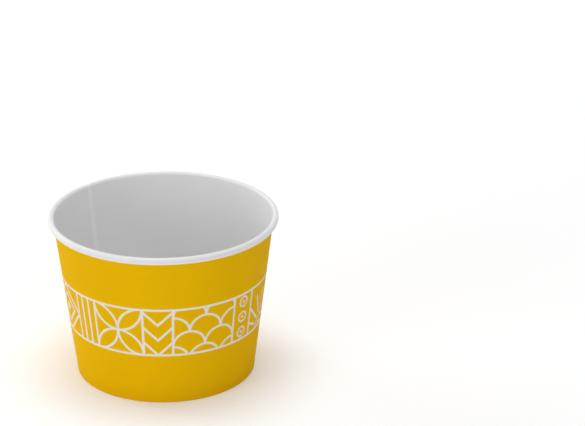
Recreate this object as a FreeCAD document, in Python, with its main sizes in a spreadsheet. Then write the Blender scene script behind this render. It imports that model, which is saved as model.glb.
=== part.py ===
"""A paper ice cream cup: a printed board sidewall with a rolled rim, a lapped side seam and a
folded foot, and a separate bottom disc whose skirt is sealed inside the foot fold."""

import math
import os

import FreeCAD, Part
import Sketcher

START, END, CENTRE = 1, 2, 3
ORIGIN = -1

doc = FreeCAD.newDocument("paper_ice_cream_cup")

# The driving dimensions, in millimetres and degrees.
SIZES = {
    "rim_diameter": 64.0,
    "foot_diameter": 50.0,
    "cup_height": 46.3,
    "board_thickness": 0.3,
    "rim_roll_width": 1.6,
    "rim_roll_height": 2.0,
    "rim_tuck_angle": 104.0,
    "hem_height": 4.4,
    "foot_flat": 0.3,
    "bottom_recess": 5.2,
    "bottom_thickness": 0.25,
    "bottom_bend_radius": 0.5,
    "skirt_clearance": 0.3,
    "seam_overlap": 5.0,
    "seam_step": 1.4,
    "seam_bearing": 125.0,
}
sheet = doc.addObject("Spreadsheet::Sheet", "sizes")
for row, (alias, number) in enumerate(SIZES.items(), start=1):
    sheet.set(f"A{row}", alias.replace("_", " "))
    sheet.set(f"B{row}", str(number))
    sheet.setAlias(f"B{row}", alias)
doc.recompute()


def size(alias):
    """The value of one of the sheet's cells."""
    return float(sheet.get(alias))


# Widths that several constraints share, as expressions of the sheet's cells.
ROLL_RADIUS = "sizes.rim_roll_width / 2"
ROLL_CENTRE_X = f"sizes.rim_diameter / 2 - {ROLL_RADIUS}"
UPPER_CENTRE_Y = f"sizes.cup_height - {ROLL_RADIUS}"
LOWER_CENTRE_Y = f"sizes.cup_height - sizes.rim_roll_height + {ROLL_RADIUS}"
LAP_ANGLE = "sizes.seam_overlap / (sizes.foot_diameter / 2) * 180 / pi"
STEP_ANGLE = "sizes.seam_step / (sizes.foot_diameter / 2) * 180 / pi"


def fold_radius(plies):
    """The foot fold's radius on the face that lies this many board thicknesses from the skirt."""
    return f"(sizes.bottom_thickness / 2 + {plies} * sizes.board_thickness)"


def fold_height(deepest):
    """The fold's centre above the table, which its outermost face meets in a narrow flat."""
    return f"sqrt({fold_radius(deepest)} ^ 2 - (sizes.foot_flat / 2) ^ 2)"


SKIRT_END = f"{fold_height(2)} + sizes.skirt_clearance"


class WallLine:
    """The sidewall's outer line in the section plane, worked out from the sheet, so that a sketch
    starts near its solution. It runs from the foot corner to the rim roll, which it touches."""

    def __init__(self):
        roll = size("rim_roll_width") / 2
        self.board = size("board_thickness")
        self.foot = FreeCAD.Vector(size("foot_diameter") / 2, 0, 0)
        self.upper = FreeCAD.Vector(size("rim_diameter") / 2 - roll, size("cup_height") - roll, 0)
        self.lower = self.upper - FreeCAD.Vector(0, size("rim_roll_height") - 2 * roll, 0)
        run = self.upper - self.foot
        self.lean = math.atan2(run.x, run.y) - math.asin((roll - self.board) / run.Length)
        self.up = FreeCAD.Vector(math.sin(self.lean), math.cos(self.lean), 0)
        self.out = FreeCAD.Vector(math.cos(self.lean), -math.sin(self.lean), 0)
        self.roll = roll

    def on_line(self, depth, height):
        """The point at a height on the line that lies this deep inside the outer face."""
        start = self.foot - self.out * depth
        return start + self.up * ((height - start.y) / self.up.y)


def add_line(sketch, a, b, construction=False):
    return sketch.addGeometry(Part.LineSegment(a, b), construction)


def add_arc(sketch, centre, radius, start, end):
    """An arc drawn anticlockwise between two angles, in radians."""
    circle = Part.Circle(centre, FreeCAD.Vector(0, 0, 1), radius)
    return sketch.addGeometry(Part.ArcOfCircle(circle, start, end), False)


def value(expression):
    """What an expression of the sheet's cells comes to."""
    return float(sheet.evalExpression(expression.replace("sizes.", "")))


def bind(sketch, name, expression, *constraint):
    """Adds a dimension with its present value, and ties it to the sheet."""
    present = value(expression)
    if constraint[0] == "Angle":
        present = math.radians(present)
    index = sketch.addConstraint(Sketcher.Constraint(*constraint, present))
    sketch.renameConstraint(index, name)
    unit = " * 1 deg" if constraint[0] == "Angle" else ""
    sketch.setExpression(f"Constraints.{name}", f"({expression}){unit}")


def tie(sketch, *constraints):
    for constraint in constraints:
        sketch.addConstraint(Sketcher.Constraint(*constraint))


def section_sketch(body, name, bearing):
    """A sketch on the half plane through the cup's axis at a bearing round it."""
    sketch = body.newObject("Sketcher::SketchObject", name)
    planes = {plane.Role: plane for plane in body.Origin.OriginFeatures}
    sketch.AttachmentSupport = (planes["XZ_Plane"], "")
    sketch.MapMode = "FlatFace"
    upright = FreeCAD.Vector(0, 1, 0)
    sketch.AttachmentOffset = FreeCAD.Placement(FreeCAD.Vector(), FreeCAD.Rotation(upright, 1))
    sketch.setExpression("AttachmentOffset.Rotation.Angle", f"({bearing}) * 1 deg")
    return sketch


def draw_wall_line(sketch, wall):
    """The outer wall line and the rim roll that it touches, as construction. Returns both."""
    inner = wall.roll - wall.board
    touch = wall.upper - wall.out * inner
    line = add_line(sketch, wall.foot, touch, True)
    circle = sketch.addGeometry(Part.Circle(wall.upper, FreeCAD.Vector(0, 0, 1), inner), True)
    bind(sketch, "foot_radius", "sizes.foot_diameter / 2", "DistanceX", ORIGIN, START, line, START)
    tie(sketch, ("PointOnObject", line, START, ORIGIN))
    bind(sketch, "roll_centre_x", ROLL_CENTRE_X, "DistanceX", ORIGIN, START, circle, CENTRE)
    bind(sketch, "roll_centre_y", UPPER_CENTRE_Y, "DistanceY", ORIGIN, START, circle, CENTRE)
    bind(sketch, "roll_inside", f"{ROLL_RADIUS} - sizes.board_thickness", "Radius", circle)
    tie(sketch, ("Tangent", line, END, circle))
    return line, circle


def draw_face(sketch, wall, line, circle, plies, deepest, face):
    """One face of the board, from the end of the rim roll down the wall and round the foot fold.
    plies is how many board thicknesses lie inside the face. Returns its roll's lower arc, its
    fold and its leg."""
    roll = wall.roll - plies * wall.board
    fold = value(fold_radius(plies))
    tuck = math.radians(size("rim_tuck_angle"))
    lean = wall.lean
    fold_depth = wall.board + size("bottom_thickness") / 2
    fold_centre = wall.on_line(fold_depth, value(fold_height(deepest)))
    side = FreeCAD.Vector(roll, 0, 0)
    top = wall.upper - wall.out * roll
    turn = fold_centre + wall.out * fold
    leg_foot = fold_centre - wall.out * fold
    leg_head = leg_foot + wall.up * ((size("hem_height") - leg_foot.y) / wall.up.y)

    lower = add_arc(sketch, wall.lower, roll, -tuck, 0)
    side_line = add_line(sketch, wall.lower + side, wall.upper + side)
    upper = add_arc(sketch, wall.upper, roll, 0, math.pi - lean)
    wall_line = add_line(sketch, top, turn)
    leg = add_line(sketch, leg_foot, leg_head)
    if plies < deepest:
        fold_in = fold_out = add_arc(sketch, fold_centre, fold, math.pi - lean, 2 * math.pi - lean)
    else:
        # The outermost face meets the table in a flat, between two arcs.
        low = math.asin(size("foot_flat") / 2 / fold)
        fold_in = add_arc(sketch, fold_centre, fold, math.pi - lean, 1.5 * math.pi - low)
        fold_out = add_arc(sketch, fold_centre, fold, 1.5 * math.pi + low, 2 * math.pi - lean)
        foot = add_line(sketch, sketch.getPoint(fold_in, END), sketch.getPoint(fold_out, START))
        tie(
            sketch,
            ("Coincident", fold_in, CENTRE, fold_out, CENTRE),
            ("Equal", fold_in, fold_out),
            ("Coincident", foot, START, fold_in, END),
            ("Coincident", foot, END, fold_out, START),
            ("Horizontal", foot),
            ("PointOnObject", foot, START, ORIGIN),
        )
    tie(
        sketch,
        ("Coincident", upper, CENTRE, circle, CENTRE),
        ("Tangent", lower, END, side_line, START),
        ("Tangent", side_line, END, upper, START),
        ("Vertical", side_line),
        ("Tangent", upper, END, wall_line, START),
        ("Parallel", wall_line, line),
        ("Tangent", wall_line, END, fold_out, END),
        ("Tangent", fold_in, START, leg, START),
        ("Parallel", leg, line),
    )
    roll_size = f"{ROLL_RADIUS} - {plies} * sizes.board_thickness"
    bind(sketch, f"roll_radius_{face}", roll_size, "Radius", upper)
    return lower, fold_out, leg


def draw_board(sketch, wall, first, last):
    """The closed section of the board between two counts of board thickness."""
    line, circle = draw_wall_line(sketch, wall)
    lower_a, fold_a, leg_a = draw_face(sketch, wall, line, circle, first, last, "inside")
    lower_b, fold_b, leg_b = draw_face(sketch, wall, line, circle, last, last, "outside")

    def ends(geometry, point):
        return sketch.getPoint(geometry, point)

    roll_cap = add_line(sketch, ends(lower_a, START), ends(lower_b, START))
    leg_cap = add_line(sketch, ends(leg_a, END), ends(leg_b, END))
    bind(sketch, "lower_centre_x", ROLL_CENTRE_X, "DistanceX", ORIGIN, START, lower_a, CENTRE)
    bind(sketch, "lower_centre_y", LOWER_CENTRE_Y, "DistanceY", ORIGIN, START, lower_a, CENTRE)
    bind(sketch, "fold_radius", fold_radius(first), "Radius", fold_a)
    bind(sketch, "fold_height", fold_height(last), "DistanceY", ORIGIN, START, fold_a, CENTRE)
    bind(sketch, "hem_height", "sizes.hem_height", "DistanceY", ORIGIN, START, leg_a, END)
    bind(sketch, "tuck_angle", "180 - sizes.rim_tuck_angle", "Angle", roll_cap)
    tie(
        sketch,
        ("Coincident", lower_b, CENTRE, lower_a, CENTRE),
        ("Coincident", fold_b, CENTRE, fold_a, CENTRE),
        ("Coincident", roll_cap, START, lower_a, START),
        ("Coincident", roll_cap, END, lower_b, START),
        ("PointOnObject", lower_a, CENTRE, roll_cap),
        ("Coincident", leg_cap, START, leg_a, END),
        ("Coincident", leg_cap, END, leg_b, END),
        ("Perpendicular", leg_cap, leg_a),
    )


def turn(body, name, sketch, angle):
    """A sketch turned about the cup's axis."""
    feature = body.newObject("PartDesign::Revolution", name)
    feature.Profile = sketch
    feature.ReferenceAxis = (sketch, ["V_Axis"])
    feature.setExpression("Angle", f"({angle}) * 1 deg")
    doc.recompute()
    return feature


def make_sidewall(wall):
    """The printed board: one sheet wrapped to a cone, its ends lapped and sealed, its top edge
    rolled outward and its bottom edge folded in and up round the bottom disc's skirt."""
    body = doc.addObject("PartDesign::Body", "sidewall")
    lap_end = f"sizes.seam_bearing + {LAP_ANGLE}"
    step_end = f"{lap_end} + {STEP_ANGLE}"
    board = section_sketch(body, "board_section", step_end)
    draw_board(board, wall, 0, 1)
    turn(body, "board_turn", board, f"360 - {LAP_ANGLE} - {STEP_ANGLE}")
    lap = section_sketch(body, "lap_section", "sizes.seam_bearing")
    draw_board(lap, wall, 0, 2)
    turn(body, "seam_lap", lap, LAP_ANGLE)
    step = section_sketch(body, "step_section", lap_end)
    draw_board(step, wall, 1, 2)
    loft = body.newObject("PartDesign::AdditiveLoft", "seam_step")
    loft.Profile = step
    loft.Sections = [board]
    loft.Ruled = True
    doc.recompute()
    body.Tip = loft
    return body


def make_bottom(wall):
    """The bottom disc: flat, with its edge turned down into a skirt between wall and hem."""
    body = doc.addObject("PartDesign::Body", "bottom_disc")
    sketch = section_sketch(body, "disc_section", "0")
    line, _ = draw_wall_line(sketch, wall)
    gauge = size("bottom_thickness")
    bend = size("bottom_bend_radius")
    under = size("bottom_recess")
    skirt_end = value(SKIRT_END)
    centre = wall.on_line(wall.board + gauge + bend, under - bend)
    top_turn = math.pi / 2
    outer_foot = wall.on_line(wall.board, skirt_end)
    inner_foot = outer_foot - wall.out * gauge
    axis_under = FreeCAD.Vector(0, under, 0)
    axis_top = FreeCAD.Vector(0, under + gauge, 0)
    rise = FreeCAD.Vector(0, bend, 0)
    rise_top = FreeCAD.Vector(0, bend + gauge, 0)

    underside = add_line(sketch, axis_under, centre + rise)
    inner_arc = add_arc(sketch, centre, bend, -wall.lean, top_turn)
    inner_skirt = add_line(sketch, centre + wall.out * bend, inner_foot)
    edge = add_line(sketch, inner_foot, outer_foot)
    outer_skirt = add_line(sketch, outer_foot, centre + wall.out * (bend + gauge))
    outer_arc = add_arc(sketch, centre, bend + gauge, -wall.lean, top_turn)
    topside = add_line(sketch, centre + rise_top, axis_top)
    on_axis = add_line(sketch, axis_top, axis_under)
    tie(
        sketch,
        ("Tangent", underside, END, inner_arc, END),
        ("Tangent", inner_arc, START, inner_skirt, START),
        ("Coincident", inner_skirt, END, edge, START),
        ("Coincident", edge, END, outer_skirt, START),
        ("Tangent", outer_skirt, END, outer_arc, START),
        ("Tangent", outer_arc, END, topside, START),
        ("Coincident", topside, END, on_axis, START),
        ("Coincident", on_axis, END, underside, START),
        ("PointOnObject", underside, START, -2),
        ("Vertical", on_axis),
        ("Horizontal", underside),
        ("Coincident", outer_arc, CENTRE, inner_arc, CENTRE),
        ("Parallel", inner_skirt, line),
        ("Parallel", outer_skirt, line),
        ("Perpendicular", edge, inner_skirt),
        ("Horizontal", topside),
    )
    bind(sketch, "recess", "sizes.bottom_recess", "DistanceY", ORIGIN, START, underside, START)
    bind(sketch, "bend_inside", "sizes.bottom_bend_radius", "Radius", inner_arc)
    bend_outside = "sizes.bottom_bend_radius + sizes.bottom_thickness"
    bind(sketch, "bend_outside", bend_outside, "Radius", outer_arc)
    bind(sketch, "seal_face", "sizes.board_thickness", "Distance", outer_skirt, START, line)
    bind(sketch, "skirt_end", SKIRT_END, "DistanceY", ORIGIN, START, outer_skirt, START)
    turn(body, "disc_turn", sketch, "360")
    return body


def check_document():
    """Stops if any object failed, or a sketch is loose."""
    failed = [o.Name for o in doc.Objects if "Invalid" in o.State or "Error" in o.State]
    loose = [
        o.Name
        for o in doc.Objects
        if o.TypeId == "Sketcher::SketchObject" and not o.FullyConstrained
    ]
    if failed or loose:
        raise RuntimeError(f"failed: {failed}, not fully constrained: {loose}")


def export_nodes(bodies):
    os.makedirs("parts", exist_ok=True)
    for body in bodies:
        shape = body.Shape
        if shape.isNull() or not shape.isValid() or len(shape.Solids) != 1:
            raise RuntimeError(f"{body.Label}: bad shape, {len(shape.Solids)} solids")
        print(f"{body.Label}: {shape.Volume:.1f} mm3, {len(shape.Faces)} faces")
        shape.exportStep(f"parts/{body.Label}.step")


wall = WallLine()
bodies = [make_sidewall(wall), make_bottom(wall)]
doc.recompute()
check_document()
export_nodes(bodies)
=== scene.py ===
"""Looks of the paper ice cream cup: the wrapped and printed board, its rolled rim, its lapped seam,
its folded foot, its bottom disc, and a plain studio."""

import math

import bpy
import numpy as np
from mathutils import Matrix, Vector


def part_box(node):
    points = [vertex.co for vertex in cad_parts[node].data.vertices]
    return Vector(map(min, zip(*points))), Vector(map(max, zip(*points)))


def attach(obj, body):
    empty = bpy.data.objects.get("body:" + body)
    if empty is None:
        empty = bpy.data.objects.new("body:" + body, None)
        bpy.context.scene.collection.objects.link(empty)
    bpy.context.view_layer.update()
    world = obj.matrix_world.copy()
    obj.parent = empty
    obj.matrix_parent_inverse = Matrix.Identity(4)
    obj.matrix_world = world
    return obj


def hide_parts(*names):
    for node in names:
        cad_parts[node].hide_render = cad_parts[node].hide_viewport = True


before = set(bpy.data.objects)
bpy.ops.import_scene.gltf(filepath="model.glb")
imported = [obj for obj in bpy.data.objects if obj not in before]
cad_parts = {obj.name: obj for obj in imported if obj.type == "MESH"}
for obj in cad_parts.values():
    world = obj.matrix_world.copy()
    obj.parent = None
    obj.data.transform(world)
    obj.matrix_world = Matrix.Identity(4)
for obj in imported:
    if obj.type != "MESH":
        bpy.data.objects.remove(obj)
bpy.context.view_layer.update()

# Sizes are in millimetres and angles in radians, unless a comment says otherwise. The overall
# sizes come from the frame.
MM = 0.001
WALL_HIGH = np.array(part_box("sidewall")[1]) / MM
DISC_LOW, DISC_HIGH = (np.array(corner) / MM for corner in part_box("bottom_disc"))
HEIGHT = WALL_HIGH[2]
RIM_RADIUS = max(WALL_HIGH[0], WALL_HIGH[1])
DISC_TOP = DISC_HIGH[2]
SKIRT_END = DISC_LOW[2]

# The board, the rim roll, the folded foot and the bottom disc, as in the part's source.
FOOT_RADIUS = 25.0
FOOT_FLAT = 0.3
BOARD = 0.3
ROLL = 0.8
ROLL_HEIGHT = 2.0
TUCK = math.radians(104)
HEM_HEIGHT = 4.4
DISC_BOARD = 0.25
DISC_BEND = 0.5

# The seam. The outer ply starts at a bearing, laps over the inner one and then steps down to its
# level. The inner ply's end is pressed thinner, and the foot's fold rises just before the lap.
LAP_START = math.radians(125)
LAP = 5.0 / FOOT_RADIUS
LAP_END = LAP_START + LAP
LAP_STEP = 1.4 / FOOT_RADIUS
LIFT_RUN = math.radians(2)
PRESSED_RUN = 1.6 / FOOT_RADIUS
PRESSED_EDGE = 0.12
PLY_GAP = 0.004
FULL_TURN = 2 * math.pi

# The upright grooves rolled into the hem, which alone has normals so far inwards so low down.
KNURL_TEETH = 72
KNURL_DEPTH = 0.2
KNURL_LOW = 0.9
KNURL_HIGH = 3.9
KNURL_FADE = 0.5
INWARDS = -0.9

# How real board strays from the true form. The wall's waves have an amplitude, a number in a
# turn, a phase and a twist on the way up, and fade out towards the foot, between two shares of
# the height. Then come the rim's top, the puckers of the disc's skirt, and the disc's middle.
CONE_WAVES = (
    (0.035, 2, 0.7, 0.0),
    (0.022, 3, -1.1, 1.3),
    (0.008, 7, 0.0, 2.2),
    (0.006, 11, 0.0, -3.1),
)
CONE_FADE = (0.02, 0.35)
RIM_WAVE = 0.03
RIM_RIPPLES, RIM_PHASE, RIM_SWELLS = 5, 0.4, 2
RIM_SHARE = 0.9
PUCKER = 0.03
PUCKER_WAVES = 72
PUCKER_RUN = 1.2
SAG = 0.06
SAG_SWING = 1.5 * math.pi
WARP = 0.02
WARP_WAVES = 2

# Steps of the meshes, along the section and round the cup, the radii of the disc's first
# rings, and the angle from which an edge is sharp.
TUCK_STEPS, ROLL_STEPS, WALL_STEPS, FOLD_STEPS, HEM_STEPS = 10, 16, 30, 13, 13
LAP_STEPS, STEP_STEPS, ROUND_STEPS = 12, 8, 412
DISC_RINGS, BEND_STEPS, SKIRT_STEPS, DISC_SECTORS = 22, 9, 6, 360
FIRST_RINGS = (0.0, 0.6, 2.0)
SHARP = math.radians(42)

# The texture sheets. On the sidewall's, each kind of face has its lowest row and its height. On
# the disc's, each side is a round patch with a middle, a radius and a margin.
PRINT_ROWS = (0.02, 0.44)
FILM_ROWS = (0.52, 0.44)
HEM_EDGE_ROWS = (0.975, 0.005)
ROLL_EDGE_ROWS = (0.985, 0.005)
OUTER_END_ROWS = (0.004, 0.004)
INNER_END_ROWS = (0.012, 0.004)
TOP_MIDDLE, UNDER_MIDDLE = np.array([0.25, 0.5]), np.array([0.75, 0.5])
PATCH_RADIUS = 0.24
PATCH_MARGIN = 6

# Material slots of the sidewall and of the bottom disc.
PRINTED_SLOT, FILM_SLOT, RAW_SLOT = 0, 1, 2
TOP_SLOT, UNDER_SLOT = 0, 1

# The wall's outer line runs from the foot corner and touches the roll's inner side.
UPPER = np.array([RIM_RADIUS - ROLL, HEIGHT - ROLL])
LOWER = UPPER - [0, ROLL_HEIGHT - 2 * ROLL]
RUN = UPPER - [FOOT_RADIUS, 0]
LEAN = math.atan2(RUN[0], RUN[1]) - math.asin((ROLL - BOARD) / np.hypot(*RUN))
UP = np.array([math.sin(LEAN), math.cos(LEAN)])
OUT = np.array([math.cos(LEAN), -math.sin(LEAN)])


def wall_line(depth, height):
    """The point of the section at a height, this deep inside the wall's outer face."""
    start = np.array([FOOT_RADIUS, 0.0]) - OUT * depth
    return start + UP * (height - start[1]) / UP[1]


def arc(centre, radius, start, end, steps):
    """Points and unit directions from a centre, for steps along an arc."""
    angles = np.linspace(start, end, steps)
    ways = np.stack([np.cos(angles), np.sin(angles)], -1)
    return centre + radius * ways, ways


def straight(start, end, steps, normal):
    """Points between two ends, which are left out, with one normal for all."""
    share = np.linspace(0, 1, steps + 2)[1:-1, None]
    return start + (end - start) * share, np.tile(normal, (steps, 1))


def smooth(value, low, high):
    """0 below low, 1 above high, and an even curve between."""
    share = np.clip((value - low) / (high - low), 0, 1)
    return share * share * (3 - 2 * share)


def turned(radius, height, bearing):
    """Points of the section, turned to a bearing round the cup."""
    return np.stack([radius * math.cos(bearing), radius * math.sin(bearing), height], -1)


def run_lengths(line):
    """How far each point lies along a line."""
    return np.concatenate([[0], np.cumsum(np.hypot(*np.diff(line, axis=0).T))])


def board_line(lift):
    """The food side of the board in section, from the end of the rim roll down the wall, round
    the foot fold and up the hem, with the normals that lead to the printed side. The fold's
    centre is lifted where two plies pass under it."""
    gauge = DISC_BOARD / 2
    fold = math.sqrt((gauge + BOARD + lift) ** 2 - (FOOT_FLAT / 2) ** 2)
    centre = wall_line(BOARD + gauge, fold)
    leg_foot = centre - OUT * gauge
    leg_head = leg_foot + UP * (HEM_HEIGHT - leg_foot[1]) / UP[1]
    wall_top = UPPER - OUT * ROLL
    wall_foot = centre + OUT * gauge
    lower, lower_ways = arc(LOWER, ROLL, -TUCK, 0, TUCK_STEPS)
    upper, upper_ways = arc(UPPER, ROLL, 0, math.pi - LEAN, ROLL_STEPS)
    turn, turn_ways = arc(centre, gauge, -LEAN, -LEAN - math.pi, FOLD_STEPS)
    wall, wall_ways = straight(wall_top, wall_foot, WALL_STEPS, OUT)
    leg, leg_ways = straight(leg_foot, leg_head, HEM_STEPS, -OUT)
    points = [lower, upper, wall, turn, leg, leg_head[None]]
    normals = [-lower_ways, -upper_ways, wall_ways, turn_ways, leg_ways, -OUT[None]]
    return np.concatenate(points), np.concatenate(normals)


def mesh_object(name, vertices, faces, slots, uvs, materials):
    """An object from a list of faces, with a material slot and UV corners for each."""
    mesh = bpy.data.meshes.new(name)
    mesh.from_pydata([tuple(v) for v in np.asarray(vertices) * MM], [], faces)
    for material in materials:
        mesh.materials.append(material)
    mesh.polygons.foreach_set("material_index", slots)
    layer = mesh.uv_layers.new(name="OFBake")
    layer.data.foreach_set("uv", np.asarray(uvs, dtype=float).ravel())
    mesh.polygons.foreach_set("use_smooth", [True] * len(faces))
    mesh.set_sharp_from_angle(angle=SHARP)
    mesh.validate()
    mesh.update()
    piece = bpy.data.objects.new(name, mesh)
    bpy.context.scene.collection.objects.link(piece)
    return piece


def cone_waver(bearing, height):
    """How far the real wall strays from a true cone."""
    share = height / HEIGHT
    waver = sum(
        amplitude * np.sin(waves * bearing + phase + twist * share)
        for amplitude, waves, phase, twist in CONE_WAVES
    )
    return waver * smooth(share, *CONE_FADE)


def rim_waver(bearing):
    """How far the roll's top strays downwards round the rim."""
    ripples = math.sin(RIM_RIPPLES * bearing + RIM_PHASE)
    return RIM_WAVE * (ripples * math.sin(RIM_SWELLS * bearing) - 1)


def hem_knurl(bearing, points, normals):
    """How deep the upright grooves are that were rolled into the hem where it clamps the disc's
    skirt. Only the hem's normals point inwards that low down."""
    height = points[:, 1]
    low = smooth(height, KNURL_LOW, KNURL_LOW + KNURL_FADE)
    high = 1 - smooth(height, KNURL_HIGH - KNURL_FADE, KNURL_HIGH)
    hem = (normals[:, 0] < INWARDS) * low * high
    return KNURL_DEPTH * hem * (1 + math.sin(KNURL_TEETH * bearing)) / 2


def seam_stations():
    """Bearings from the sheet's outer cut edge once round to its inner one, close where the
    sheet bends. The inner end lies under the outer one."""
    inner_start = LAP_START + FULL_TURN
    rise = inner_start - LIFT_RUN
    return np.concatenate([
        np.linspace(LAP_START, LAP_END, LAP_STEPS, endpoint=False),
        np.linspace(LAP_END, LAP_END + LAP_STEP, STEP_STEPS, endpoint=False),
        np.linspace(LAP_END + LAP_STEP, rise, ROUND_STEPS, endpoint=False),
        np.linspace(rise, inner_start, STEP_STEPS, endpoint=False),
        np.linspace(inner_start, LAP_END + FULL_TURN, LAP_STEPS),
    ])


def seam_layers(stations):
    """For each bearing: how far out the sheet lies, how far its foot fold is lifted, and how
    thick it is."""
    over_pressed = smooth(stations, LAP_END - PRESSED_RUN, LAP_END)
    stepped_down = smooth(stations, LAP_END, LAP_END + LAP_STEP)
    inner_ply = BOARD * (1 - (1 - PRESSED_EDGE) * over_pressed)
    offset = (inner_ply + PLY_GAP) * (1 - stepped_down)
    inner_start = LAP_START + FULL_TURN
    before_lap = smooth(stations, inner_start - LIFT_RUN, inner_start)
    lift = np.maximum(offset, before_lap * (BOARD + PLY_GAP))
    inner_end = LAP_END + FULL_TURN
    pressed = smooth(stations, inner_end - PRESSED_RUN, inner_end)
    return offset, lift, BOARD * (1 - (1 - PRESSED_EDGE) * pressed)


def board_ring(bearing, offset, lift, board):
    """The points round the board's section at a bearing: down its food side and back along its
    printed side."""
    line, normal = board_line(lift)
    print_depth = offset + board - hem_knurl(bearing, line, normal)[:, None]
    ring = np.concatenate([line + normal * offset, (line + normal * print_depth)[::-1]])
    radius = ring[:, 0] + cone_waver(bearing, ring[:, 1])
    height = ring[:, 1] + rim_waver(bearing) * smooth(ring[:, 1], HEIGHT * RIM_SHARE, HEIGHT)
    return turned(radius, np.maximum(height, 0), bearing)


def strip_rows(half, length):
    """Texture rows and material slot of each strip of faces round the section: the film, the
    hem's cut edge, the print and the roll's cut edge."""
    film = FILM_ROWS[0] + FILM_ROWS[1] * length
    printed = PRINT_ROWS[0] + PRINT_ROWS[1] * length[::-1]
    strips = [(film[k], film[k + 1], FILM_SLOT) for k in range(half - 1)]
    strips.append((HEM_EDGE_ROWS[0], sum(HEM_EDGE_ROWS), RAW_SLOT))
    strips += [(printed[k], printed[k + 1], PRINTED_SLOT) for k in range(half - 1)]
    strips.append((ROLL_EDGE_ROWS[0], sum(ROLL_EDGE_ROWS), RAW_SLOT))
    return strips


def make_sidewall(materials):
    """The sheet as one strip, from its outer cut edge once round to its inner one, which the
    outer end laps over."""
    stations = seam_stations()
    grid = np.array([board_ring(*layer) for layer in zip(stations, *seam_layers(stations))])
    count, ring = grid.shape[:2]
    half = ring // 2
    along = (stations - stations[0]) / (stations[-1] - stations[0])
    length = run_lengths(board_line(0)[0])
    length = length / length[-1]
    strips = strip_rows(half, length)

    faces, slots, uvs = [], [], []
    for i in range(count - 1):
        u0, u1 = along[i], along[i + 1]
        for k, (v0, v1, slot) in enumerate(strips):
            following = (k + 1) % ring
            near = [i * ring + k, i * ring + following]
            far = [(i + 1) * ring + k, (i + 1) * ring + following]
            faces.append((near[0], far[0], far[1], near[1]))
            slots.append(slot)
            uvs.extend([(u0, v0), (u1, v0), (u1, v1), (u0, v1)])

    ends = ((0, OUTER_END_ROWS, RAW_SLOT, 1), (count - 1, INNER_END_ROWS, FILM_SLOT, -1))
    for end, (low, rise), slot, order in ends:
        for k in range(half - 1):
            across = ring - 1 - k
            corners = [end * ring + c for c in (k, k + 1, across - 1, across)]
            u0, u1 = length[k], length[k + 1]
            texture = [(u0, low), (u1, low), (u1, low + rise), (u0, low + rise)]
            faces.append(tuple(corners[::order]))
            slots.append(slot)
            uvs.extend(texture[::order])
    return mesh_object("cup_sidewall", grid.reshape(-1, 3), faces, slots, uvs, materials)


def disc_line():
    """The bottom disc in section: its food side from the middle to the skirt's foot, and its
    underside back. Also the number of points on the food side, and where the bend starts."""
    bend_centre = wall_line(BOARD + DISC_BOARD + DISC_BEND, DISC_TOP - DISC_BOARD - DISC_BEND)
    skirt_foot = wall_line(BOARD, SKIRT_END)
    rings = np.linspace(FIRST_RINGS[-1], bend_centre[0], DISC_RINGS)[:-1]
    flat = np.concatenate([FIRST_RINGS[:-1], rings])
    top = np.stack([flat, np.full_like(flat, DISC_TOP)], -1)
    bend, _ = arc(bend_centre, DISC_BEND + DISC_BOARD, math.pi / 2, -LEAN, BEND_STEPS)
    skirt, _ = straight(bend[-1], skirt_foot, SKIRT_STEPS, OUT)
    inner_foot = skirt_foot - OUT * DISC_BOARD
    inner_bend, _ = arc(bend_centre, DISC_BEND, -LEAN, math.pi / 2, BEND_STEPS)
    inner_skirt, _ = straight(inner_foot, inner_bend[0], SKIRT_STEPS, OUT)
    under = top[::-1] - [0, DISC_BOARD]
    feet = [skirt_foot, inner_foot]
    line = np.concatenate([top, bend, skirt, feet, inner_skirt, inner_bend, under])
    return line, len(top) + len(bend) + len(skirt), bend_centre[0]


def disc_ring(line, flat_radius, bearing):
    """The disc's section at a bearing, with the puckers of its skirt and a slight sag."""
    radius, height = line.T
    share = np.clip(radius / flat_radius, 0, 1)
    down = smooth(height, DISC_TOP, DISC_TOP - PUCKER_RUN)
    pucker = PUCKER * (math.sin(PUCKER_WAVES * bearing) - 1) * down
    sag = SAG * np.cos(SAG_SWING * share) * (1 - share)
    warp = WARP * math.sin(WARP_WAVES * bearing) * share * (1 - share)
    return turned(radius + pucker, height - sag - warp, bearing)


def make_bottom(materials):
    """The disc with its down-turned skirt, as one turned strip."""
    line, top_rows, flat_radius = disc_line()
    bearings = np.linspace(0, FULL_TURN, DISC_SECTORS + 1)
    grid = np.array([disc_ring(line, flat_radius, bearing) for bearing in bearings[:-1]])
    count, rows = grid.shape[:2]
    reach = line[top_rows, 0] + PATCH_MARGIN
    distance = run_lengths(line)
    sides = (
        (TOP_SLOT, distance / reach, TOP_MIDDLE),
        (UNDER_SLOT, (distance[-1] - distance) / reach, UNDER_MIDDLE),
    )
    ways = np.stack([np.cos(bearings), np.sin(bearings)], -1)
    faces, slots, uvs = [], [], []
    for i in range(count):
        j = (i + 1) % count
        for k in range(rows - 1):
            slot, spread, middle = sides[0 if k < top_rows else 1]
            faces.append((i * rows + k, i * rows + k + 1, j * rows + k + 1, j * rows + k))
            slots.append(slot)
            for station, row in ((i, k), (i, k + 1), (i + 1, k + 1), (i + 1, k)):
                uvs.append(middle + PATCH_RADIUS * spread[row] * ways[station])
    return mesh_object("cup_bottom", grid.reshape(-1, 3), faces, slots, uvs, materials)


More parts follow.
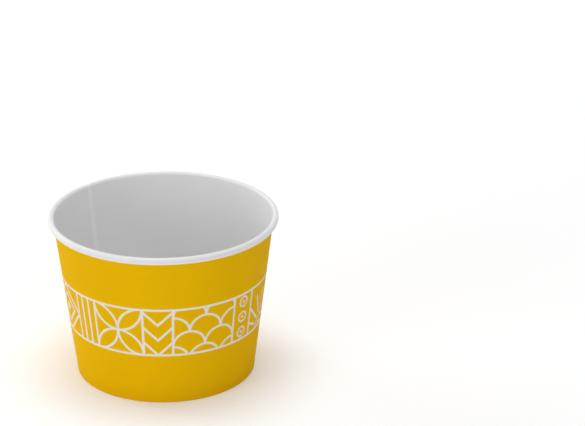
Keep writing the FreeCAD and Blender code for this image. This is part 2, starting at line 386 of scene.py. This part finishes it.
class Nodes:
    """Short forms for building the nodes of a material or world. A number stands for itself."""

    def __init__(self, owner):
        self.owner = owner
        owner.use_nodes = True
        self.tree = owner.node_tree
        self.shader = self.tree.nodes.get("Principled BSDF")

    def put(self, socket, value):
        """Links an input to another node, or sets it."""
        if isinstance(value, bpy.types.NodeSocket):
            self.tree.links.new(value, socket)
        else:
            socket.default_value = value

    def shade(self, name, value):
        """Gives the surface shader one of its inputs."""
        self.put(self.shader.inputs[name], value)

    def math(self, operation, *values, clamp=False):
        node = self.tree.nodes.new("ShaderNodeMath")
        node.operation = operation
        node.use_clamp = clamp
        for socket, value in zip(node.inputs, values):
            self.put(socket, value)
        return node.outputs[0]

    def lowest(self, first, *others):
        for other in others:
            first = self.math("MINIMUM", first, other)
        return first

    def highest(self, first, *others):
        for other in others:
            first = self.math("MAXIMUM", first, other)
        return first

    def ranged(self, value, low, high):
        """A value from 0 to 1 spread between two others."""
        return self.math("MULTIPLY_ADD", value, high - low, low)

    def contrast(self, value, gain):
        """A value from 0 to 1 spread about its middle, and kept between 0 and 1."""
        return self.math("MULTIPLY_ADD", value, gain, (1 - gain) / 2, clamp=True)

    def mix(self, factor, first, second):
        """A colour between two others. The node's sockets share their names, so they are taken
        by their places."""
        node = self.tree.nodes.new("ShaderNodeMix")
        node.data_type = "RGBA"
        for index, value in ((0, factor), (6, first), (7, second)):
            self.put(node.inputs[index], value)
        return node.outputs[2]

    def place(self):
        """A point of the object in its own coordinates, in metres."""
        return self.tree.nodes.new("ShaderNodeTexCoord").outputs["Object"]

    def split(self, vector):
        """The three coordinates of a point."""
        node = self.tree.nodes.new("ShaderNodeSeparateXYZ")
        self.put(node.inputs[0], vector)
        return node.outputs

    def noise(self, scale, detail=3.0, stretch=(1, 1, 1), roughness=0.5):
        mapping = self.tree.nodes.new("ShaderNodeMapping")
        mapping.inputs["Scale"].default_value = stretch
        self.put(mapping.inputs["Vector"], self.place())
        node = self.tree.nodes.new("ShaderNodeTexNoise")
        self.put(node.inputs["Vector"], mapping.outputs[0])
        node.inputs["Scale"].default_value = scale
        node.inputs["Detail"].default_value = detail
        node.inputs["Roughness"].default_value = roughness
        return node.outputs["Fac"]

    def bump(self, height, strength, depth, normal=None):
        node = self.tree.nodes.new("ShaderNodeBump")
        node.inputs["Strength"].default_value = strength
        node.inputs["Distance"].default_value = depth * MM
        self.put(node.inputs["Height"], height)
        if normal is not None:
            self.put(node.inputs["Normal"], normal)
        return node.outputs[0]

    def seen(self):
        """1 for what the camera sees straight, in a gloss or through glass, and 0 for the rest."""
        path = self.tree.nodes.new("ShaderNodeLightPath").outputs
        kinds = ("Is Camera Ray", "Is Glossy Ray", "Is Transmission Ray")
        return self.highest(*(path[kind] for kind in kinds))


# The printed band: the heights of its border lines, half its breadth up the slant, a third of
# that breadth, and the bearing where it starts, in degrees from the front.
BAND_LOW, BAND_HIGH = 15.4, 29.65
BAND_MIDDLE = (BAND_LOW + BAND_HIGH) / 2
BAND_HALF = (BAND_HIGH - BAND_LOW) / 2 / math.cos(LEAN)
BAND_RADIUS = FOOT_RADIUS + math.tan(LEAN) * BAND_MIDDLE
BAND_START = -85
THIRD = BAND_HALF * 2 / 3

# Widths of its lines and of their soft edge, and sizes of its motifs.
LINE = 0.68
FINE_LINE = 0.5
LINE_EDGE = 0.03
MANY_PERIODS = 50
DIAGONAL = math.sqrt(0.5)
DIAMOND_INNER = BAND_HALF * 0.42
DIAMOND_CORE = 1.0
CHEVRON_TOP = 2.5 * THIRD
SUN_CORE = 1.5
SUN_ARCH = 3.4
SUN_RAY_START, SUN_RAY_END = 5.0, 11.4
SUN_RAY_ANGLE = math.pi / 8
RING_MARGIN = 0.9
RING_DOT = 0.42
PENNANT_WIDTH = 0.72
PENNANT_SHIFT = 5 * THIRD
SCALE_ROWS = range(-2, 3)


class Print(Nodes):
    """The line pattern of the band, as distances on the wrapped sheet. A motif gets coordinates
    from its tile's middle and half the tile's width."""

    def __init__(self, owner):
        super().__init__(owner)
        x, y, z = self.split(self.place())
        bearing = self.math("ARCTAN2", x, self.math("MULTIPLY", y, -1))
        self.across = self.math("MULTIPLY", bearing, BAND_RADIUS)
        above = self.shifted(z, BAND_MIDDLE * MM)
        self.up = self.math("MULTIPLY", above, 1 / MM / math.cos(LEAN))

    def shifted(self, value, by):
        return self.math("SUBTRACT", value, by)

    def size(self, value):
        """A value without its sign. Of a distance, it is the distance to the line at 0."""
        return self.math("ABSOLUTE", value)

    def length(self, x, y):
        """The distance from the origin of two coordinates."""
        square = self.math("MULTIPLY", x, x)
        return self.math("SQRT", self.math("MULTIPLY_ADD", y, y, square))

    def repeated(self, value, period):
        """The distance to the nearest whole number of periods. The values are brought above 0
        first."""
        return self.math("PINGPONG", self.shifted(value, -period * MANY_PERIODS), period / 2)

    def drawn(self, distance, width):
        """1 within half a line's width of a distance of 0, with a crisp edge. With no width, 1
        where the distance is below 0."""
        start = width / 2 / LINE_EDGE + 0.5
        slope = self.math("MULTIPLY_ADD", distance, -1 / LINE_EDGE, start)
        return self.lowest(self.highest(slope, 0.0), 1.0)

    def diamonds(self, x, y, wide):
        reach = self.math("ADD", self.size(x), self.size(y))
        away = self.math("MULTIPLY", reach, DIAGONAL)
        outer = self.size(self.shifted(away, BAND_HALF * DIAGONAL))
        inner = self.size(self.shifted(away, DIAMOND_INNER))
        core = self.drawn(self.shifted(away, DIAMOND_CORE), 0)
        return self.highest(self.drawn(self.lowest(outer, inner), LINE), core)

    def stripes(self, x, y, wide):
        return self.drawn(self.repeated(self.shifted(x, wide / 3), wide * 2 / 3), LINE)

    def petals(self, x, y, wide):
        side = self.size(x)
        top = self.size(y)
        beside = self.length(self.shifted(side, wide), top)
        above = self.length(side, self.shifted(top, BAND_HALF))
        side_arc = self.size(self.shifted(beside, wide))
        top_arc = self.size(self.shifted(above, BAND_HALF))
        return self.drawn(self.lowest(side_arc, top_arc), LINE)

    def chevrons(self, x, y, wide):
        bent = self.shifted(self.shifted(y, -BAND_HALF), self.size(x))
        away = self.math("MULTIPLY", self.repeated(bent, THIRD), DIAGONAL)
        return self.drawn(self.highest(away, self.shifted(bent, CHEVRON_TOP)), LINE)

    def scales(self, x, y, wide):
        radius = wide / 2
        shapes = []
        for row in SCALE_ROWS:
            foot = self.shifted(y, row * radius)
            along = self.repeated(self.shifted(x, radius * (row % 2)), 2 * radius)
            ring = self.size(self.shifted(self.length(along, foot), radius))
            below = self.math("MULTIPLY", foot, -1)
            shapes.append(self.highest(ring, below, self.shifted(foot, radius)))
        return self.drawn(self.lowest(*shapes), LINE)

    def rings(self, x, y, wide):
        away = self.length(x, self.repeated(y, THIRD))
        ring = self.size(self.shifted(away, THIRD / 2 - RING_MARGIN))
        dot = self.drawn(self.shifted(away, RING_DOT), 0)
        return self.highest(self.drawn(ring, FINE_LINE), dot)

    def sun(self, x, y, wide):
        foot = self.shifted(y, -BAND_HALF)
        away = self.length(x, foot)
        swing = self.repeated(self.math("ARCTAN2", x, foot), SUN_RAY_ANGLE)
        beside = self.size(self.math("MULTIPLY", swing, away))
        before = self.math("SUBTRACT", SUN_RAY_START, away)
        ray = self.highest(beside, self.shifted(away, SUN_RAY_END), before)
        arch = self.size(self.shifted(away, SUN_ARCH))
        core = self.drawn(self.shifted(away, SUN_CORE), 0)
        return self.highest(self.drawn(self.lowest(ray, arch), LINE), core)

    def pennants(self, x, y, wide):
        level = self.math("MODULO", self.shifted(y, -BAND_HALF - PENNANT_SHIFT), THIRD)
        width = self.math("MULTIPLY", level, wide * PENNANT_WIDTH / THIRD)
        return self.drawn(self.shifted(self.size(x), width), 0)

    def tiles(self):
        """The motifs in their order, and the degrees round the cup that each one's tile takes."""
        return (
            (self.diamonds, 30),
            (self.stripes, 15),
            (self.petals, 30),
            (self.chevrons, 17),
            (self.scales, 38),
            (self.rings, 15),
            (self.sun, 34),
            (self.pennants, 16),
        )

    def white(self):
        """1 where the sheet is left white."""
        beyond = self.shifted(self.size(self.up), BAND_HALF)
        start = math.radians(BAND_START) * BAND_RADIUS
        edge = start
        drawn = []
        posts = [self.size(self.shifted(self.across, edge))]
        for motif, degrees in self.tiles():
            wide = math.radians(degrees) * BAND_RADIUS / 2
            x = self.shifted(self.across, edge + wide)
            outside = self.highest(self.shifted(self.size(x), wide), beyond)
            inside = self.math("LESS_THAN", outside, 0.0)
            drawn.append(self.math("MULTIPLY", motif(x, self.up, wide), inside))
            edge += 2 * wide
            posts.append(self.size(self.shifted(self.across, edge)))
        from_middle = self.size(self.shifted(self.across, (start + edge) / 2))
        border = self.highest(self.size(beyond), self.shifted(from_middle, (edge - start) / 2))
        post = self.highest(self.lowest(*posts), beyond)
        return self.highest(self.drawn(self.lowest(border, post), LINE), *drawn)


# Colours, as linear shares of red, green and blue: the ink and its deeper patches, the board left
# bare in the print, the film, a painted highlight along the inner seam, the cut edge and the disc's
# underside.
INK = (0.87, 0.506, 0.0014, 1)
INK_DEEP = (0.835, 0.476, 0.0010, 1)
BARE = (0.845, 0.82, 0.745, 1)
FILM = (0.856, 0.849, 0.856, 1)
# A painted highlight: the colour of the lighter strip along the inner seam.
SEAM_HIGHLIGHT = (0.92, 0.92, 0.925, 1)
RAW = (0.74, 0.70, 0.62, 1)
PLAIN = (0.80, 0.785, 0.75, 1)

# The painted highlight on the film, a lighter strip along the inner seam: half its width, the width
# of its soft edge, how high above the disc it starts, and its share of the highlight colour.
STRIP_HALF = 0.98
STRIP_EDGE = 0.7
STRIP_ABOVE = 0.3
STRIP_SHARE = 0.8


def darker(colour, share):
    """A colour brought down to a share of itself."""
    return tuple(c * share for c in colour[:3]) + (1,)


def printed_material():
    """Matt ink on board: even, with the faintest mottle and the board's fibre under it."""
    nodes = Print(bpy.data.materials.new("printed_board"))
    white = nodes.white()
    mottle = nodes.noise(scale=900, detail=4, stretch=(1, 1, 0.5), roughness=0.6)
    cloud = nodes.noise(scale=70, detail=2)
    tone = nodes.math("MULTIPLY", nodes.math("ADD", mottle, cloud), 0.5)
    ink = nodes.mix(nodes.contrast(tone, 1.6), INK, INK_DEEP)
    nodes.shade("Base Color", nodes.mix(white, ink, BARE))
    nodes.shade("Specular IOR Level", 0.02)
    grain = nodes.noise(scale=3200, detail=4, stretch=(1, 1, 0.35), roughness=0.6)
    sheen = nodes.ranged(grain, 0.60, 0.72)
    nodes.shade("Roughness", nodes.math("MULTIPLY_ADD", white, 0.12, sheen))
    fibre = nodes.bump(grain, strength=0.30, depth=0.05)
    swell = nodes.noise(scale=240, detail=2)
    nodes.shade("Normal", nodes.bump(swell, strength=0.15, depth=0.2, normal=fibre))
    return nodes.owner


def seam_highlight_strip(nodes):
    """1 along the inner end of the sheet, on the wall alone: the mask of the painted highlight
    along the seam.
    """
    turn = nodes.tree.nodes.new("ShaderNodeVectorRotate")
    turn.rotation_type = "Z_AXIS"
    turn.inputs["Angle"].default_value = -LAP_END
    nodes.put(turn.inputs["Vector"], nodes.place())
    out, beside, height = nodes.split(turn.outputs[0])
    away = nodes.math("MULTIPLY", nodes.math("ABSOLUTE", beside), 1 / MM)
    inwards = nodes.math("SUBTRACT", STRIP_HALF, away)
    strip = nodes.math("MULTIPLY", inwards, 1 / STRIP_EDGE, clamp=True)
    same_side = nodes.math("GREATER_THAN", out, 0.0)
    on_wall = nodes.math("GREATER_THAN", height, (DISC_TOP + STRIP_ABOVE) * MM)
    return nodes.math("MULTIPLY", nodes.math("MULTIPLY", strip, same_side), on_wall)


def film_material():
    """White board under a thin clear film, soft and a little glossy, with a painted highlight:
    lighter in a strip along the inner seam."""
    nodes = Nodes(bpy.data.materials.new("film_board"))
    board = nodes.mix(nodes.noise(scale=160), FILM, darker(FILM, 0.975))
    # Painted highlight: the film is made lighter in a strip along the inner seam.
    strip = nodes.math("MULTIPLY", seam_highlight_strip(nodes), STRIP_SHARE)
    nodes.shade("Base Color", nodes.mix(strip, board, SEAM_HIGHLIGHT))
    nodes.shade("Specular IOR Level", 0.3)
    nodes.shade("Roughness", nodes.ranged(nodes.noise(scale=1200), 0.38, 0.5))
    grain = nodes.noise(scale=2200, detail=4, stretch=(1, 1, 0.5), roughness=0.6)
    fibre = nodes.bump(grain, strength=0.25, depth=0.05)
    swell = nodes.noise(scale=180, detail=2)
    nodes.shade("Normal", nodes.bump(swell, strength=0.12, depth=0.3, normal=fibre))
    return nodes.owner


def raw_material():
    """The board's cut edge."""
    nodes = Nodes(bpy.data.materials.new("cut_edge"))
    fibre = nodes.noise(scale=4200, detail=4, stretch=(1, 1, 3), roughness=0.7)
    nodes.shade("Base Color", nodes.mix(fibre, RAW, darker(RAW, 0.8)))
    nodes.shade("Roughness", 0.92)
    nodes.shade("Normal", nodes.bump(fibre, strength=0.5, depth=0.06))
    return nodes.owner


def plain_material():
    """Uncoated white paper under the bottom disc."""
    nodes = Nodes(bpy.data.materials.new("plain_board"))
    fibre = nodes.noise(scale=2200, detail=5, roughness=0.7)
    nodes.shade("Base Color", nodes.mix(fibre, PLAIN, darker(PLAIN, 0.93)))
    nodes.shade("Roughness", nodes.ranged(fibre, 0.75, 0.92))
    nodes.shade("Normal", nodes.bump(fibre, strength=0.3, depth=0.06))
    return nodes.owner


# The studio, in metres. The floor's own glow rises between two distances from the cup, where the
# lamps leave it dim, and only the camera, glosses and glass see it.
FLOOR_SIZE = 8
FLOOR_COLOUR = (0.93, 0.93, 0.93, 1)
FLOOR_GLOW = {"From Min": 0.12, "From Max": 1.0, "To Min": 0.19, "To Max": 0.75}
WHITE = (1, 1, 1, 1)
WORLD_LEVEL = 0.33

# Each lamp's name, place, width and power.
LAMPS = (
    ("top", (0.0, 0.1, 1.0), 0.7, 4.9),
    ("back", (-0.88, 0.51, 0.25), 0.6, 2.7),
    ("left", (-0.78, -0.65, 0.25), 0.6, 2.3),
    ("right", (0.35, -0.96, 0.25), 0.6, 1.6),
)
LAMP_TARGET = (0, 0, 0.02)

CAMERA_PLACE = (0.03589, -0.69914, 0.33904)
CAMERA_PITCH = math.radians(22.717)
CAMERA_LENS = 167.74
CAMERA_SENSOR = 36
CAMERA_CLIP = 0.01


def make_floor():
    """A pale floor, which keeps the cup's shadow."""
    bpy.ops.mesh.primitive_plane_add(size=FLOOR_SIZE)
    floor = bpy.context.object
    floor.name = "floor"
    nodes = Nodes(bpy.data.materials.new("floor"))
    nodes.shade("Base Color", FLOOR_COLOUR)
    nodes.shade("Roughness", 0.9)
    nodes.shade("Specular IOR Level", 0.1)
    nodes.shade("Emission Color", WHITE)
    away = nodes.tree.nodes.new("ShaderNodeVectorMath")
    away.operation = "LENGTH"
    nodes.put(away.inputs[0], nodes.place())
    glow = nodes.tree.nodes.new("ShaderNodeMapRange")
    glow.interpolation_type = "SMOOTHSTEP"
    for name, value in FLOOR_GLOW.items():
        glow.inputs[name].default_value = value
    nodes.put(glow.inputs["Value"], away.outputs["Value"])
    nodes.shade("Emission Strength", nodes.math("MULTIPLY", nodes.seen(), glow.outputs[0]))
    floor.data.materials.append(nodes.owner)


def make_world():
    """A pale world, which the camera sees white."""
    nodes = Nodes(bpy.data.worlds.new("studio"))
    bpy.context.scene.world = nodes.owner
    background = nodes.tree.nodes["Background"].inputs
    background["Color"].default_value = WHITE
    nodes.put(background["Strength"], nodes.ranged(nodes.seen(), WORLD_LEVEL, 1.0))


def make_lamps():
    """Four broad round lamps: above, behind on the left, and in front on both sides."""
    for name, place, width, power in LAMPS:
        data = bpy.data.lights.new(name, "AREA")
        data.shape = "DISK"
        data.size = width
        data.energy = power
        lamp = bpy.data.objects.new(name, data)
        lamp.location = place
        x, y, z = np.array(LAMP_TARGET) - np.array(place)
        pitch = math.acos(-z / math.hypot(x, y, z))
        lamp.rotation_euler = (pitch, 0, math.atan2(-x, y))
        bpy.context.scene.collection.objects.link(lamp)


def make_camera():
    """A camera at the photograph's viewing angle."""
    data = bpy.data.cameras.new("camera")
    data.lens = CAMERA_LENS
    data.sensor_width = CAMERA_SENSOR
    data.clip_start = CAMERA_CLIP
    camera = bpy.data.objects.new("camera", data)
    camera.location = CAMERA_PLACE
    camera.rotation_euler = (math.pi / 2 - CAMERA_PITCH, 0, 0)
    bpy.context.scene.collection.objects.link(camera)
    bpy.context.scene.camera = camera


film = film_material()
sidewall = make_sidewall([printed_material(), film, raw_material()])
bottom = make_bottom([film, plain_material()])
pieces = (
    (sidewall, "sidewall", "printed_board"),
    (bottom, "bottom_disc", "white_board"),
)
for piece, node, slot in pieces:
    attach(piece, "root")
    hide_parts(node)
make_floor()
make_world()
make_lamps()
make_camera()
bpy.context.scene.view_settings.view_transform = "Standard"
